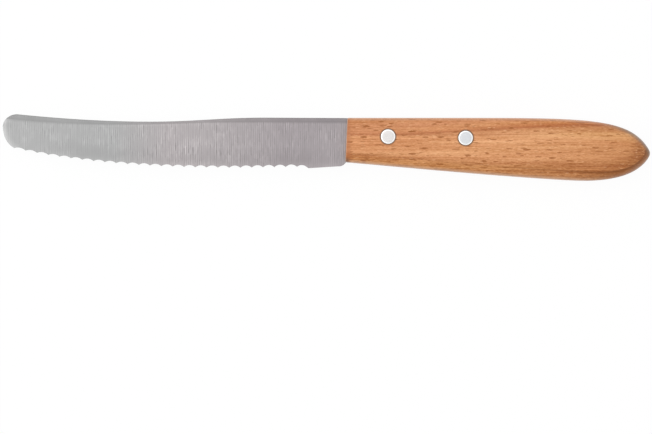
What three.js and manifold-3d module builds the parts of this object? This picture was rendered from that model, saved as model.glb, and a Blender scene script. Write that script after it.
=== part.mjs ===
// A round-nosed table knife with a wavy edge, lying on its side. The blade's half tang sits in a saw slot of
// the one-piece wooden handle, and two rivets, each a pin pressed into a sleeve, hold the two together.
// Millimetres. +X runs from the nose to the butt, +Y from the edge to the spine, +Z out of the show face.
import * as THREE from "three";
import { mergeVertices } from "three/addons/utils/BufferGeometryUtils.js";
import Module from "manifold-3d";

const wasm = await Module();
wasm.setup();

// Blade outline. An AT or LENGTH runs forward from the joint and a DEPTH down from the spine line.
const BLADE_LENGTH = 115.2;
const NOSE_DEPTH = 2.8; // of the foremost point
const NOSE_TOP_SETBACK = 4.8; // from the foremost point back to the top of the round nose
const NOSE_TOP_RISE = 1.3; // above the spine line
const SPINE_BEND_AT = 86;
const SPINE_DIP_AT = 66;
const SPINE_DIP_DEPTH = 1.2;
const SPINE_SHOULDER_AT = 27;
const SPINE_SHOULDER_RISE = 0.15;
const SHOULDER_EASE = 15.5; // length over which the spine turns in and out of its dip
const CHIN_LENGTH = 3.7; // of the plain curve under the nose
const CHIN_BEND_DEPTH = 7.8;
const CHIN_DEPTH = 10;
const BELLY_BEND_AT = 83.5;
const BELLY_AT = 36; // where the line of the teeth is lowest
const BELLY_DEPTH = 16.65;
const LAST_TOOTH_DEPTH = 16.3;
const PLAIN_HEEL_LENGTH = 12.8;
const PLAIN_HEEL_DEPTH = 16.8;
const HEEL_CORNER_LENGTH = 2.4;
const HEEL_CORNER_BEND = 1;
const HEEL_CORNER_DEPTH = 16.15;

// Waves of the edge, ground from the reverse face
const WAVE_PITCH = 3.79;
const WAVE_DEPTH_AT_HEEL = 0.8;
const WAVE_DEPTH_AT_NOSE = 0.53;
const WAVE_BEVEL_RISE = 1.3; // height of a ground arch above the tooth points' own bevel
const TOOTH_BEVEL_RISE = 0.7;
const WAVE_RUNOUT = 1.2; // length over which the grind fades past the first and the last tooth

// Blade sections
const BLADE_THICKNESS = 1.2; // at the handle, and of the whole tang
const TIP_THICKNESS = 0.9;
const NOSE_RIM_THICKNESS = 0.45;
const NOSE_BEVEL_LENGTH = 2;
const EDGE_THICKNESS = 0.45;
const EDGE_LAND = 0.12; // what the waves leave of it
const GRIND_RUNOUT = 14; // length in front of the handle over which the blade thickens to the tang
const SPINE_BEVEL_WIDTH = 1.5;
const SPINE_BEVEL_DEPTH = 0.22;
const BEVEL_SHARE = 0.25; // most of the blade's height that a bevel takes, which counts near the nose

// Tang
const TANG_BEHIND_RIVET = 12; // from the rear rivet to the tang's end
const TANG_RECESS = 0.15; // below the handle's upper and lower edges
const TANG_STEP = 1; // length over which the spine drops to the recess
const TANG_END_RADIUS = 3;
const TANG_BEVEL_WIDTH = 0.3;
const TANG_BEVEL_DEPTH = 0.08;
const TANG_BEVEL_FADE = 3;

// Handle outline and section
const HANDLE_LENGTH = 101.8;
const HANDLE_THICKNESS = 10.5;
const HANDLE_FRONT_HEIGHT = 14.75;
const LOWER_EDGE_BEND_AT = 31;
const LOWER_EDGE_BEND_DEPTH = 17.65;
const HANDLE_BELLY_AT = 80;
const HANDLE_BELLY_DEPTH = 21;
const BELLY_FRONT_EASE = 10.3; // reach of the curves that meet at the belly
const BELLY_REAR_EASE = 13.4;
const TOP_STRAIGHT_LENGTH = 50.3;
const TOP_CURVE_EASE = 33.9;
const BUTT_POINT_DEPTH = 11.8;
const BUTT_TIP_RADIUS = 2.5;
const BUTT_TIP_HALF_ANGLE = 30.5; // degrees of the tip's arc above and below the rearmost point
const BUTT_UPPER_EASE = 11; // reach of the curves that run into the tip's arc
const BUTT_LOWER_EASE = 4.6;
const FRONT_ROUND_HEIGHT = 4; // reach of the rounded long edges, up the side and through the thickness
const FRONT_ROUND_DEPTH = 2;
const REAR_ROUND_HEIGHT = 8.5;
const REAR_ROUND_DEPTH = 4.2;
const ROUND_SHARE = 0.95; // most of a half section that its rounded edges take
const FRONT_CHAMFER = 0.4;
const FRONT_SLANT = 0.7; // from the front's upper corner forward to its lower one
const FRONT_SLANT_FADE = 12;
const BUTT_ROLL_LENGTH = 9; // over which the butt thins to its rounded end
const BUTT_END_THICKNESS = 0.6;

// Saw slot and rivets
const SLOT_CLEARANCE = 0.1; // on each side of the tang
const SLOT_END_GAP = 0.6;
const SAW_RADIUS = 75;
const FRONT_RIVET_AT = 13.9; // behind the joint
const FRONT_RIVET_DEPTH = 6.3;
const REAR_RIVET_AT = 39.8;
const REAR_RIVET_DEPTH = 6.75;
const RIVET_HEAD_DIAMETER = 5;
const RIVET_HEAD_THICKNESS = 1.6;
const RIVET_HEAD_CHAMFER = 0.12;
const RIVET_SLEEVE_DIAMETER = 3.4;
const RIVET_PIN_DIAMETER = 2.2;
const RIVET_FLOOR = 0.6; // metal between the sleeve's head face and the end of its bore
const RIVET_CLEARANCE = 0.06; // round each rivet in the wood and the tang
const PRESS_CLEARANCE = 0.02; // between pin and sleeve
const RIVET_END_GAP = 0.2; // left at the ends of the shanks

// Fineness of the curves
const CURVE_POINTS = 60;
const NOSE_STEPS = 14;
const WAVE_STEPS = 6;
const HEEL_STEPS = 8;
const TANG_PANELS = 8;
const TANG_CORNER_STEPS = 5;
const HANDLE_PANELS = 12;
const BUTT_STEPS = 16;
const ROUND_STEPS = 6;
const RIVET_SIDES = 40;
const TIP_START = 0.02; // the first section lies this far behind the foremost point
const CUT_MARGIN = 2; // how far a cutting body reaches past what it cuts

const { lerp, clamp, smoothstep, DEG2RAD } = THREE.MathUtils;
const tangEnd = REAR_RIVET_AT + TANG_BEHIND_RIVET;
const slotEnd = tangEnd + SLOT_END_GAP;
const halfHandle = HANDLE_THICKNESS / 2;
const waveCount = Math.floor((BLADE_LENGTH - CHIN_LENGTH - PLAIN_HEEL_LENGTH) / WAVE_PITCH);
const waveStart = -PLAIN_HEEL_LENGTH - waveCount * WAVE_PITCH;

const steel = { color: 0xb4b4b6, roughness: 0.35, metalness: 1 };
const beech = { color: 0xd2945f, roughness: 0.5, metalness: 0 };
const aluminium = { color: 0xe2e2e4, roughness: 0.3, metalness: 1 };

// Height of a path that never turns back along X, at one place along it.
function heightOn(points, x) {
  const found = points.findIndex((point, i) => i > 0 && point.x >= x);
  const next = found < 0 ? points.length - 1 : found;
  const from = points[next - 1];
  const to = points[next];
  return lerp(from.y, to.y, clamp((x - from.x) / (to.x - from.x), 0, 1));
}

// Places from one end to the other in equal steps, both ends included.
function spread(from, to, steps) {
  return Array.from({ length: steps + 1 }, (_, i) => lerp(from, to, i / steps));
}

// Places that crowd towards a rounded end, which lies at the first place.
function crowd(end, inner, steps) {
  return spread(0, Math.PI / 2, steps).map((angle) => lerp(inner, end, Math.cos(angle)));
}

// Closed surface through rings of equally many points, each ring running from +Y towards +Z.
function loft(rings) {
  const count = rings[0].length;
  const last = (rings.length - 1) * count;
  const faces = [];
  for (let start = 0; start < last; start += count) {
    for (let side = 0; side < count; side++) {
      const a = start + side;
      const b = start + ((side + 1) % count);
      faces.push(a, b, b + count, a, b + count, a + count);
    }
  }
  const cap = (ring) => {
    const outline = ring.map((point) => new THREE.Vector2(point.y, point.z));
    return THREE.ShapeUtils.triangulateShape(outline, []);
  };
  cap(rings[0]).forEach(([a, b, c]) => faces.push(a, c, b));
  cap(rings.at(-1)).forEach(([a, b, c]) => faces.push(last + a, last + b, last + c));
  return new THREE.BufferGeometry().setFromPoints(rings.flat()).setIndex(faces);
}

function solid(geometry) {
  const bare = geometry.clone();
  bare.deleteAttribute("normal");
  bare.deleteAttribute("uv");
  const merged = mergeVertices(bare);
  return new wasm.Manifold(
    new wasm.Mesh({
      numProp: 3,
      vertProperties: merged.attributes.position.array,
      triVerts: new Uint32Array(merged.index.array),
    }),
  );
}

function geometryOf(body) {
  const { vertProperties, triVerts } = body.getMesh();
  const geometry = new THREE.BufferGeometry();
  geometry.setAttribute("position", new THREE.BufferAttribute(vertProperties, 3));
  geometry.setIndex(new THREE.BufferAttribute(triVerts, 1));
  return geometry;
}

function named(name, geometry, finish) {
  geometry.computeVertexNormals();
  const mesh = new THREE.Mesh(geometry, new THREE.MeshStandardMaterial(finish));
  mesh.name = name;
  return mesh;
}

// Runs a path along the butt into the small arc at its tip, which ends at the rearmost point.
function closeButt(path, leaveX, leaveY, ease, side) {
  const angle = side * BUTT_TIP_HALF_ANGLE * DEG2RAD;
  const middleX = HANDLE_LENGTH - BUTT_TIP_RADIUS;
  const arcX = middleX + BUTT_TIP_RADIUS * Math.cos(angle);
  const arcY = BUTT_TIP_RADIUS * Math.sin(angle) - BUTT_POINT_DEPTH;
  const bendX = arcX - ease * Math.abs(Math.sin(angle));
  const bendY = arcY + side * ease * Math.cos(angle);
  path.bezierCurveTo(leaveX, leaveY, bendX, bendY, arcX, arcY);
  path.absarc(middleX, -BUTT_POINT_DEPTH, BUTT_TIP_RADIUS, angle, 0, side > 0);
  return path.getPoints(CURVE_POINTS);
}

// Upper and lower edge of the handle, from its front to the rearmost point of the butt
function handleTop() {
  const path = new THREE.Path().moveTo(0, 0).lineTo(TOP_STRAIGHT_LENGTH, 0);
  return closeButt(path, TOP_STRAIGHT_LENGTH + TOP_CURVE_EASE, 0, BUTT_UPPER_EASE, 1);
}

function handleBottom() {
  const path = new THREE.Path().moveTo(0, -HANDLE_FRONT_HEIGHT);
  path.bezierCurveTo(
    LOWER_EDGE_BEND_AT, -LOWER_EDGE_BEND_DEPTH,
    HANDLE_BELLY_AT - BELLY_FRONT_EASE, -HANDLE_BELLY_DEPTH,
    HANDLE_BELLY_AT, -HANDLE_BELLY_DEPTH,
  );
  return closeButt(path, HANDLE_BELLY_AT + BELLY_REAR_EASE, -HANDLE_BELLY_DEPTH, BUTT_LOWER_EASE, -1);
}

const topEdge = handleTop();
const bottomEdge = handleBottom();

// Spine from the foremost point over the round nose, through the dip, and on along the tang
function spineLine() {
  const noseTop = NOSE_TOP_SETBACK - BLADE_LENGTH;
  const path = new THREE.Path().moveTo(-BLADE_LENGTH, -NOSE_DEPTH);
  const noseHeight = NOSE_DEPTH + NOSE_TOP_RISE;
  path.absellipse(noseTop, -NOSE_DEPTH, NOSE_TOP_SETBACK, noseHeight, Math.PI, Math.PI / 2, true);
  path.quadraticCurveTo(-SPINE_BEND_AT, -SPINE_DIP_DEPTH, -SPINE_DIP_AT, -SPINE_DIP_DEPTH);
  path.bezierCurveTo(
    SHOULDER_EASE - SPINE_DIP_AT, -SPINE_DIP_DEPTH,
    -SPINE_SHOULDER_AT - SHOULDER_EASE, SPINE_SHOULDER_RISE,
    -SPINE_SHOULDER_AT, SPINE_SHOULDER_RISE,
  );
  path.lineTo(0, 0).lineTo(TANG_STEP, -TANG_RECESS).lineTo(tangEnd - TANG_END_RADIUS, -TANG_RECESS);
  path.quadraticCurveTo(tangEnd, -TANG_RECESS, tangEnd, -TANG_RECESS - TANG_END_RADIUS);
  return path.getPoints(CURVE_POINTS);
}

// Line through the tooth points from the foremost point to the heel, and on along the tang's lower edge
function toothLine() {
  const tangLower = (x) => heightOn(bottomEdge, x) + TANG_RECESS;
  const cornerStart = tangEnd - TANG_END_RADIUS;
  const path = new THREE.Path().moveTo(-BLADE_LENGTH, -NOSE_DEPTH);
  path.quadraticCurveTo(-BLADE_LENGTH, -CHIN_BEND_DEPTH, CHIN_LENGTH - BLADE_LENGTH, -CHIN_DEPTH);
  path.quadraticCurveTo(-BELLY_BEND_AT, -BELLY_DEPTH, -BELLY_AT, -BELLY_DEPTH);
  path.lineTo(-PLAIN_HEEL_LENGTH - WAVE_PITCH, -LAST_TOOTH_DEPTH);
  path.lineTo(-PLAIN_HEEL_LENGTH, -PLAIN_HEEL_DEPTH).lineTo(-HEEL_CORNER_LENGTH, -HEEL_CORNER_DEPTH);
  path.quadraticCurveTo(-HEEL_CORNER_BEND, -HEEL_CORNER_DEPTH, 0, tangLower(0));
  for (const x of spread(0, cornerStart, TANG_PANELS).slice(1)) {
    path.lineTo(x, tangLower(x));
  }
  path.quadraticCurveTo(tangEnd, tangLower(tangEnd), tangEnd, tangLower(tangEnd) + TANG_END_RADIUS);
  return path.getPoints(CURVE_POINTS);
}

// How far into its wave a place lies, from 0 at a tooth point to 1 in the middle of the hollow
function waveHollow(x) {
  if (x <= waveStart || x >= -PLAIN_HEEL_LENGTH) {
    return 0;
  }
  const share = ((x - waveStart) / WAVE_PITCH) % 1;
  return 4 * share * (1 - share);
}

// One section of the blade, from the spine's crown down the show face and up the reverse face
function bladeSection(x, top, teeth) {
  const forward = clamp(-x / BLADE_LENGTH, 0, 1);
  const hollow = waveHollow(x);
  const bottom = teeth + hollow * lerp(WAVE_DEPTH_AT_HEEL, WAVE_DEPTH_AT_NOSE, forward);
  const inTang = smoothstep(x, 0, TANG_BEVEL_FADE);
  const wideBevel = lerp(SPINE_BEVEL_WIDTH, TANG_BEVEL_WIDTH, inTang);
  const bevelWidth = Math.min(wideBevel, (top - bottom) * BEVEL_SHARE);
  const bevelDepth = lerp(SPINE_BEVEL_DEPTH, TANG_BEVEL_DEPTH, inTang);
  const nose = smoothstep(x + BLADE_LENGTH, 0, NOSE_BEVEL_LENGTH);
  const tapered = lerp(BLADE_THICKNESS, TIP_THICKNESS, forward);
  const spineHalf = lerp(NOSE_RIM_THICKNESS, tapered, nose) / 2;
  const crownHalf = spineHalf - bevelDepth * lerp(NOSE_RIM_THICKNESS / TIP_THICKNESS, 1, nose);
  const ground = smoothstep(-x, 0, GRIND_RUNOUT);
  const edgeHalf = Math.min(lerp(BLADE_THICKNESS, EDGE_THICKNESS, ground) / 2, spineHalf);
  const pastWaves = Math.max(waveStart - x, x + PLAIN_HEEL_LENGTH);
  const waved = 1 - smoothstep(pastWaves, 0, WAVE_RUNOUT);
  const landBack = lerp(-edgeHalf, edgeHalf - EDGE_LAND, waved);
  const faceHeight = top - bevelWidth - bottom;
  const bevelRise = Math.min(TOOTH_BEVEL_RISE + hollow * WAVE_BEVEL_RISE * waved, faceHeight * BEVEL_SHARE);
  const bevelHalf = lerp(edgeHalf, spineHalf, bevelRise / faceHeight);
  return [
    new THREE.Vector3(x, top, crownHalf),
    new THREE.Vector3(x, top - bevelWidth, spineHalf),
    new THREE.Vector3(x, bottom, edgeHalf),
    new THREE.Vector3(x, bottom, landBack),
    new THREE.Vector3(x, bottom + bevelRise, -bevelHalf),
    new THREE.Vector3(x, top - bevelWidth, -spineHalf),
    new THREE.Vector3(x, top, -crownHalf),
  ];
}

function bladePlaces() {
  const cornerStart = tangEnd - TANG_END_RADIUS;
  return [
    TIP_START - BLADE_LENGTH,
    ...crowd(-BLADE_LENGTH, waveStart, NOSE_STEPS).slice(1, -1),
    ...spread(waveStart, -PLAIN_HEEL_LENGTH, waveCount * WAVE_STEPS),
    WAVE_RUNOUT - PLAIN_HEEL_LENGTH,
    ...spread(-HEEL_CORNER_LENGTH, 0, HEEL_STEPS),
    TANG_STEP,
    ...spread(TANG_BEVEL_FADE, cornerStart, TANG_PANELS),
    ...crowd(tangEnd, cornerStart, TANG_CORNER_STEPS).slice(0, -1).reverse(),
  ];
}

function rivetHole(at, depth, diameter, length, middle) {
  const radius = diameter / 2 + RIVET_CLEARANCE;
  const hole = new THREE.CylinderGeometry(radius, radius, length, RIVET_SIDES);
  return solid(hole.rotateX(Math.PI / 2).translate(at, -depth, middle));
}

const rivets = [
  { name: "front_rivet", at: FRONT_RIVET_AT, depth: FRONT_RIVET_DEPTH },
  { name: "rear_rivet", at: REAR_RIVET_AT, depth: REAR_RIVET_DEPTH },
];

function blade() {
  const spine = spineLine();
  const teeth = toothLine();
  const rings = bladePlaces().map((x) => bladeSection(x, heightOn(spine, x), heightOn(teeth, x)));
  let body = solid(loft(rings));
  for (const { at, depth } of rivets) {
    body = body.subtract(rivetHole(at, depth, RIVET_SLEEVE_DIAMETER, BLADE_THICKNESS + CUT_MARGIN, 0));
  }
  return named("blade", geometryOf(body), steel);
}

// One section of the handle: an upright oblong with rounded corners, flat on both faces
function handleSection(x) {
  const chamfer = FRONT_CHAMFER * (1 - clamp(x / FRONT_CHAMFER, 0, 1));
  const top = heightOn(topEdge, x) - chamfer;
  const bottom = heightOn(bottomEdge, x) + chamfer;
  const middle = (top + bottom) / 2;
  const halfHeight = (top - bottom) / 2;
  const roll = clamp((x - HANDLE_LENGTH) / BUTT_ROLL_LENGTH + 1, 0, 1);
  const thinning = (halfHandle - BUTT_END_THICKNESS / 2) * (1 - Math.sqrt(1 - roll * roll));
  const halfThickness = halfHandle - thinning - chamfer;
  const backward = smoothstep(x, REAR_RIVET_AT, HANDLE_BELLY_AT);
  const wideRound = lerp(FRONT_ROUND_HEIGHT, REAR_ROUND_HEIGHT, backward);
  const deepRound = lerp(FRONT_ROUND_DEPTH, REAR_ROUND_DEPTH, backward);
  const roundHeight = Math.min(wideRound, halfHeight * ROUND_SHARE);
  const roundDepth = Math.min(deepRound, halfThickness * ROUND_SHARE);
  const slant = FRONT_SLANT * (1 - smoothstep(x, 0, FRONT_SLANT_FADE));
  const ring = [];
  for (let corner = 0; corner < 4; corner++) {
    for (const angle of spread(corner * Math.PI / 2, (corner + 1) * Math.PI / 2, ROUND_STEPS)) {
      const upper = corner === 0 || corner === 3 ? 1 : -1;
      const front = corner < 2 ? 1 : -1;
      const y = middle + upper * (halfHeight - roundHeight) + roundHeight * Math.cos(angle);
      const z = front * (halfThickness - roundDepth) + roundDepth * Math.sin(angle);
      const lean = slant * (y / HANDLE_FRONT_HEIGHT + 0.5);
      ring.push(new THREE.Vector3(x + lean, y, z));
    }
  }
  return ring;
}

// The slot runs in from the front, and its end has the curve of the saw.
function sawSlot() {
  const top = CUT_MARGIN;
  const bottom = -HANDLE_BELLY_DEPTH - CUT_MARGIN;
  const middle = (top + bottom) / 2;
  const reach = Math.asin((top - bottom) / 2 / SAW_RADIUS);
  const outline = new THREE.Shape().moveTo(-CUT_MARGIN, top).lineTo(-CUT_MARGIN, bottom);
  outline.absarc(slotEnd - SAW_RADIUS, middle, SAW_RADIUS, -reach, reach);
  const width = BLADE_THICKNESS + 2 * SLOT_CLEARANCE;
  const cut = new THREE.ExtrudeGeometry(outline, { depth: width, bevelEnabled: false });
  return solid(cut.translate(0, 0, -width / 2));
}

function handle() {
  const places = [
    0,
    ...spread(FRONT_CHAMFER, HANDLE_BELLY_AT, HANDLE_PANELS).slice(0, -1),
    ...crowd(HANDLE_LENGTH, HANDLE_BELLY_AT, BUTT_STEPS).slice(1).reverse(),
    HANDLE_LENGTH - TIP_START,
  ];
  let body = solid(loft(places.map(handleSection))).subtract(sawSlot());
  const headDepth = 2 * RIVET_HEAD_THICKNESS + 2 * RIVET_CLEARANCE;
  for (const { at, depth } of rivets) {
    body = body.subtract(rivetHole(at, depth, RIVET_SLEEVE_DIAMETER, HANDLE_THICKNESS + CUT_MARGIN, 0));
    body = body.subtract(rivetHole(at, depth, RIVET_HEAD_DIAMETER, headDepth, halfHandle));
    body = body.subtract(rivetHole(at, depth, RIVET_HEAD_DIAMETER, headDepth, -halfHandle));
  }
  return named("handle", geometryOf(body), beech);
}

// Half of a rivet, turned about its axis. Distances run inward from the face of its head.
function turned(profile) {
  const points = profile.map(([radius, inward]) => new THREE.Vector2(radius, inward));
  return new THREE.LatheGeometry(points, RIVET_SIDES).rotateX(Math.PI / 2);
}

function rivetHead(shankRadius) {
  const radius = RIVET_HEAD_DIAMETER / 2;
  return [
    [0, 0],
    [radius - RIVET_HEAD_CHAMFER, 0],
    [radius, RIVET_HEAD_CHAMFER],
    [radius, RIVET_HEAD_THICKNESS],
    [shankRadius, RIVET_HEAD_THICKNESS],
  ];
}

function rivetPin(name) {
  const radius = RIVET_PIN_DIAMETER / 2;
  const length = HANDLE_THICKNESS - RIVET_FLOOR - RIVET_END_GAP;
  const geometry = turned([...rivetHead(radius), [radius, length], [0, length]]);
  const pin = named(name + "_pin", geometry, aluminium);
  pin.position.z = halfHandle;
  pin.rotation.x = Math.PI;
  return pin;
}

function rivetSleeve(name) {
  const radius = RIVET_SLEEVE_DIAMETER / 2;
  const bore = RIVET_PIN_DIAMETER / 2 + PRESS_CLEARANCE;
  const length = HANDLE_THICKNESS - RIVET_HEAD_THICKNESS - RIVET_END_GAP;
  const walls = [[radius, length], [bore, length], [bore, RIVET_FLOOR], [0, RIVET_FLOOR]];
  const sleeve = named(name + "_sleeve", turned([...rivetHead(radius), ...walls]), aluminium);
  sleeve.position.z = -halfHandle;
  return sleeve;
}

function rivet({ name, at, depth }) {
  const pair = new THREE.Group();
  pair.add(rivetPin(name), rivetSleeve(name));
  pair.position.set(at, -depth, 0);
  return pair;
}

// The knife stands centred over the origin, with the reverse face of the handle at height 0.
const knife = new THREE.Group();
knife.add(blade(), handle(), ...rivets.map(rivet));
const bounds = new THREE.Box3().setFromObject(knife, true);
const centre = bounds.getCenter(new THREE.Vector3());
knife.position.set(-centre.x, -centre.y, -bounds.min.z);

const part = new THREE.Group();
part.add(knife);

export default part;
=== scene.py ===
import math

import bpy
import numpy as np
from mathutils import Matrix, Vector


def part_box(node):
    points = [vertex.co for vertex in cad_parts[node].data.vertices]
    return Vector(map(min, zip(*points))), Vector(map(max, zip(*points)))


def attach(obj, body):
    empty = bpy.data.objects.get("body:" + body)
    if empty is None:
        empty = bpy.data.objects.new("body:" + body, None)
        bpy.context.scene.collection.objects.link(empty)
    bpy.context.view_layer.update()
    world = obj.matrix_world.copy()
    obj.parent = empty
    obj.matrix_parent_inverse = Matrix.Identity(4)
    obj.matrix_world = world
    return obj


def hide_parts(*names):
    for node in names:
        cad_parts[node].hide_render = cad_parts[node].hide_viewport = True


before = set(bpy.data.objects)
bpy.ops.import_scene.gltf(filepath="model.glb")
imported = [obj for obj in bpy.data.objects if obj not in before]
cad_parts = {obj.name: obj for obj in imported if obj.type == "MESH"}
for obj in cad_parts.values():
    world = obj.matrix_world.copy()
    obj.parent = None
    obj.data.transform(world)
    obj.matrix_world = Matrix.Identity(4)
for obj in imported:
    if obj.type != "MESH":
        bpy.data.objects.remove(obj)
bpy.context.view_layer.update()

# Places and main sizes, taken from the frame
MM = 0.001
RIVET_NAMES = ("front_rivet", "rear_rivet")
FRONT_SLANT = 0.7  # from the upper corner of the handle's front forward to its lower one
handle_low, handle_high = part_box("handle")
blade_low, blade_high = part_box("blade")
pin_boxes = [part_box(name + "_pin") for name in RIVET_NAMES]
pin_low, pin_high = pin_boxes[0]
MID_PLANE = (handle_low.z + handle_high.z) / 2
JOINT = Vector((handle_low.x + FRONT_SLANT / 2 * MM, handle_high.y, MID_PLANE))
HANDLE_LENGTH = (handle_high.x - JOINT.x) / MM
HANDLE_THICKNESS = (handle_high.z - handle_low.z) / MM
HALF_HANDLE = HANDLE_THICKNESS / 2
BLADE_LENGTH = (JOINT.x - blade_low.x) / MM
BLADE_THICKNESS = (blade_high.z - blade_low.z) / MM
TANG_END = (blade_high.x - JOINT.x) / MM
RIVET_HEAD_DIAMETER = (pin_high.x - pin_low.x) / MM
RIVET_PLACES = [((low + high) / 2 - JOINT) / MM for low, high in pin_boxes]

# Blade outline
NOSE_DEPTH = 2.8  # of the foremost point
NOSE_TOP_SETBACK = 4.8
NOSE_TOP_RISE = (blade_high.y - JOINT.y) / MM
NOSE_TOP = NOSE_TOP_SETBACK - BLADE_LENGTH
SPINE_BEND_AT = 86
SPINE_DIP_AT = 66
SPINE_DIP_DEPTH = 1.2
SPINE_SHOULDER_AT = 27
SPINE_SHOULDER_RISE = 0.15
SHOULDER_EASE = 15.5
CHIN_LENGTH = 3.7  # of the plain curve under the nose
CHIN_END = CHIN_LENGTH - BLADE_LENGTH
CHIN_BEND_DEPTH = 7.8
CHIN_DEPTH = 10
BELLY_BEND_AT = 83.5
BELLY_AT = 36
BELLY_DEPTH = 16.65
LAST_TOOTH_DEPTH = 16.3
PLAIN_HEEL_LENGTH = 12.8
PLAIN_HEEL_DEPTH = 16.8
HEEL_CORNER_LENGTH = 2.4
HEEL_CORNER_BEND = 1
HEEL_CORNER_DEPTH = 16.15

# Waves of the edge, ground from the reverse face
WAVE_PITCH = 3.79
WAVES = math.floor((BLADE_LENGTH - CHIN_LENGTH - PLAIN_HEEL_LENGTH) / WAVE_PITCH)
WAVE_START = -PLAIN_HEEL_LENGTH - WAVES * WAVE_PITCH
WAVE_DEPTH_AT_HEEL = 0.8
WAVE_DEPTH_AT_NOSE = 0.53
WAVE_FADE = 2.4  # height above the tooth points over which a cut draws the face up with it
ARCH_RISE = 1.3
TOOTH_BEVEL_RISE = 0.7
WAVE_RUNOUT = 1.2

# Blade sections
TIP_THICKNESS = 0.9
EDGE_THICKNESS = 0.45
EDGE_LAND = 0.12
GRIND_RUNOUT = 14
LEAST_HEIGHT = 0.2  # of the foremost section
SPINE_BEVEL_SLOPE = 0.11
SPINE_BEVEL_AT_NOSE = 1.95
SPINE_BEVEL_AT_DIP = 0.75
SPINE_BEVEL_AT_HEEL = 1.52
SPINE_BEVEL_NARROWS_AT = 58
SPINE_ROUND = 0.1
CROWN_INSET = SPINE_ROUND * (1.5 - math.sqrt(0.5))  # from a face's first row in to the spine's crown
LEAST_CROWN = 0.02
SPINE_RUN_ON = 0.1  # slope at which the spine's line runs on over the round nose
NOSE_ROLL_WIDTH = 2.4
NOSE_ROLL_DEPTH = 0.08
BEVEL_SHARE = 0.4  # the most that the bevel takes of the blade's height
LEAST_BEVEL_SHARE = 0.1
FADE_SHARE = 0.25
TANG_RECESS = 0.15
TANG_STEP = 1
TANG_END_RADIUS = 3
TANG_CORNER = TANG_END - TANG_END_RADIUS
TANG_BEVEL_WIDTH = 0.3
TANG_BEVEL_DEPTH = 0.08
TANG_BEVEL_FADE = 3

# Handle outline and section
HANDLE_FRONT_HEIGHT = 14.75
LOWER_EDGE_BEND_AT = 31
LOWER_EDGE_BEND_DEPTH = 17.65
HANDLE_BELLY_AT = 80
HANDLE_BELLY_DEPTH = 21
BELLY_FRONT_EASE = 10.3
BELLY_REAR_EASE = 13.4
TOP_STRAIGHT_LENGTH = 50.3
TOP_CURVE_EASE = 33.9
BUTT_POINT_DEPTH = 11.8
BUTT_TIP_RADIUS = 2.5
BUTT_TIP_HALF_ANGLE = 30.5
BUTT_UPPER_EASE = 11
BUTT_LOWER_EASE = 4.6
FRONT_ROUND_HEIGHT = 4
FRONT_ROUND_DEPTH = 2
REAR_ROUND_HEIGHT = 8.5
REAR_ROUND_DEPTH = 4.2
ROUND_SHARE = 0.95
FRONT_EDGE_ROUND = 0.4
FRONT_SLANT_FADE = 12
BUTT_ROLL_LENGTH = 9
BUTT_END_THICKNESS = 0.6

# Saw slot and rivets
SLOT_CLEARANCE = 0.1
SLOT_END_GAP = 0.6
SAW_RADIUS = 75
RIVET_HEAD_THICKNESS = 1.6
RIVET_FLAT_SHARE = 0.75  # of the head's radius, inside its bright rim
RIVET_RIM_DROP = 0.04
RIVET_HEAD_CHAMFER = 0.12
RIVET_SLEEVE_DIAMETER = 3.4
RIVET_PIN_DIAMETER = 2.2
RIVET_FLOOR = 0.6
RIVET_CLEARANCE = 0.06
PRESS_CLEARANCE = 0.02
RIVET_END_GAP = 0.2

# Fineness of the meshes
CURVE_STEPS = 120
NOSE_STEPS = 44
WAVE_STEPS = 12
HEEL_STEPS = 16
TANG_STEPS = 20
BEVEL_ROWS = 6
FACE_ROWS = 14
EDGE_ROWS = 12
HANDLE_STEPS = 90
BUTT_STEPS = 50
FRONT_ROUND_STEPS = 6
CORNER_STEPS = 18
RIVET_SIDES = 72
CUT_MARGIN = 2
SEAM_WIDTH = PRESS_CLEARANCE / 4  # within which the points of a turned piece are merged
SHARP_ANGLE = 30

# Camera and light
PHOTO_WIDTH = 652
PHOTO_MM_PER_PIXEL = 0.3354
JOINT_RIGHT_OF_CENTRE = 20.42  # pixels from the middle of the picture
JOINT_ABOVE_CENTRE = 98.84
LENS = 180
SENSOR = 36
VIEW_REACH = 10
WORLD_SIDES = 0.6
STRIP_LEVEL = 0.66  # what a long soft box above the knife adds to the sides' level
STRIP_HALF_WIDTH = 0.62  # as the sine of the angle from straight above
STRIP_FOOT = 0.3
WORLD_BUTT_LOSS = 0.2
LAMP_PLACE = (-0.75, 0.45, 0.95)
LAMP_SIZE = 2
LAMP_POWER = 9.3
FLOOR_SIZE = 6
FLOOR_WHITE = 0.95
FLOOR_BOUNCE = 0.85  # what the floor sends back up to the knife
FLOOR_GLOW = 0.95  # how far the white of the floor hides the shadow on it


# Small helpers for shapes
def ease(value, start, end):
    """Runs smoothly from 0 at start to 1 at end."""
    share = np.clip((value - start) / (end - start), 0, 1)
    return share * share * (3 - 2 * share)


def mix(first, second, share):
    return first + (second - first) * share


def bezier(*controls):
    share = np.linspace(0, 1, CURVE_STEPS)[:, None]
    level = [np.array(point, float) + 0 * share for point in controls]
    while len(level) > 1:
        level = [mix(near, far, share) for near, far in zip(level, level[1:])]
    return level[0]


def arc(middle, radii, start, end):
    angle = np.radians(np.linspace(start, end, CURVE_STEPS))
    return np.column_stack([middle[0] + radii[0] * np.cos(angle), middle[1] + radii[1] * np.sin(angle)])


def height_on(path, x):
    return np.interp(x, path[:, 0], path[:, 1])


def distance_to(path, x, y):
    """How far each point lies from a path of short straight steps."""
    start = path[:-1]
    step = np.diff(path, axis=0)
    apart = np.stack([x, y], axis=-1)[:, None, :] - start
    share = np.clip((apart * step).sum(axis=-1) / (step ** 2).sum(axis=-1), 0, 1)
    return np.linalg.norm(apart - share[..., None] * step, axis=-1).min(axis=1)


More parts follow.
